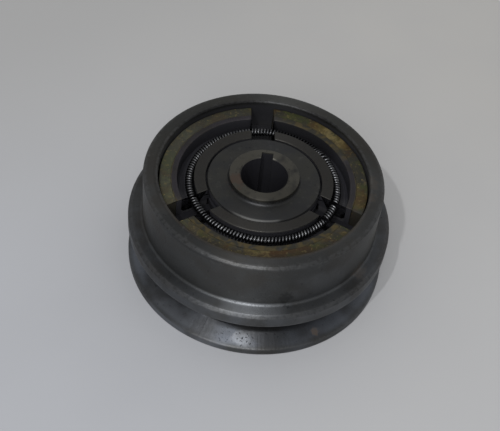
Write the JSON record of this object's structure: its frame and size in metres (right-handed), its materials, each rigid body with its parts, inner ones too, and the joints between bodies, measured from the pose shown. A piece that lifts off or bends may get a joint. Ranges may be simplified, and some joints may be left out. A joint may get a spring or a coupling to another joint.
{
  "type": "centrifugal clutch",
  "caption": "Centrifugal clutch with lined shoes, a ring spring and a belt pulley, for the keyed shaft of a small engine.",
  "frame": {"origin": "on the shaft axis, in the face that the part rests on", "axes": "+Z along the shaft axis, from the pulley side to the open side of the drum; +Y through the first gap between the shoes"},
  "size_m": [0.114, 0.114, 0.05],
  "materials": {
    "drum_steel": "turned steel, dull grey, fine circular tool marks and a few rust spots",
    "hub_steel": "turned steel, dull warm grey",
    "shoe_iron": "faced cast iron with fine circular tool marks",
    "friction_lining": "moulded friction lining, mottled yellow-brown",
    "spring_wire": "drawn spring wire, bright where it catches the light",
    "spring_steel": "blackened spring steel",
    "bearing_steel": "ground and polished bearing steel",
    "seal_rubber": "black moulded seal",
    "cage_polymer": "moulded snap-in bearing cage"
  },
  "bodies": {
    "hub": {"hub": "hub_steel", "hub_circlip": "spring_steel", "bearing_inner_ring": "bearing_steel", "garter_spring": "spring_wire"},
    "ball_set": {"bearing_cage": "cage_polymer", "bearing_ball_1": "bearing_steel", "bearing_ball_2": "bearing_steel", "bearing_ball_3": "bearing_steel", "bearing_ball_4": "bearing_steel", "bearing_ball_5": "bearing_steel", "bearing_ball_6": "bearing_steel", "bearing_ball_7": "bearing_steel", "bearing_ball_8": "bearing_steel", "bearing_ball_9": "bearing_steel", "bearing_ball_10": "bearing_steel", "bearing_ball_11": "bearing_steel"},
    "drum": {"drum_pulley": "drum_steel", "bearing_outer_ring": "bearing_steel", "bearing_seal_upper": "seal_rubber", "bearing_seal_lower": "seal_rubber", "drum_circlip": "spring_steel"},
    "left_shoe": {"shoe_left": "shoe_iron", "lining_left": "friction_lining"},
    "front_shoe": {"shoe_front": "shoe_iron", "lining_front": "friction_lining"},
    "right_shoe": {"shoe_right": "shoe_iron", "lining_right": "friction_lining"}
  },
  "joints": [
    {"name": "drum_spin", "type": "hinge", "parent": "hub", "child": "drum", "pos_m": [0, 0, 0.0115], "axis": [0, 0, 1], "continuous": true},
    {"name": "ball_set_spin", "type": "hinge", "parent": "hub", "child": "ball_set", "pos_m": [0, 0, 0.0115], "axis": [0, 0, 1], "continuous": true},
    {"name": "front_shoe_slide", "type": "slide", "parent": "hub", "child": "front_shoe", "axis": [0, -1, 0], "range_m": [0, 0.0004], "stiffness_N_per_m": 3000, "springref_m": -0.002, "deforming": ["garter_spring"]},
    {"name": "left_shoe_slide", "type": "slide", "parent": "hub", "child": "left_shoe", "axis": [-0.866, 0.5, 0], "range_m": [0, 0.0004], "stiffness_N_per_m": 3000, "springref_m": -0.002},
    {"name": "right_shoe_slide", "type": "slide", "parent": "hub", "child": "right_shoe", "axis": [0.866, 0.5, 0], "range_m": [0, 0.0004], "stiffness_N_per_m": 3000, "springref_m": -0.002}
  ],
  "couplings": [
    {"joint": "ball_set_spin", "follows": "drum_spin", "ratio": 0.6121},
    {"joint": "left_shoe_slide", "follows": "front_shoe_slide", "ratio": 1},
    {"joint": "right_shoe_slide", "follows": "front_shoe_slide", "ratio": 1}
  ]
}
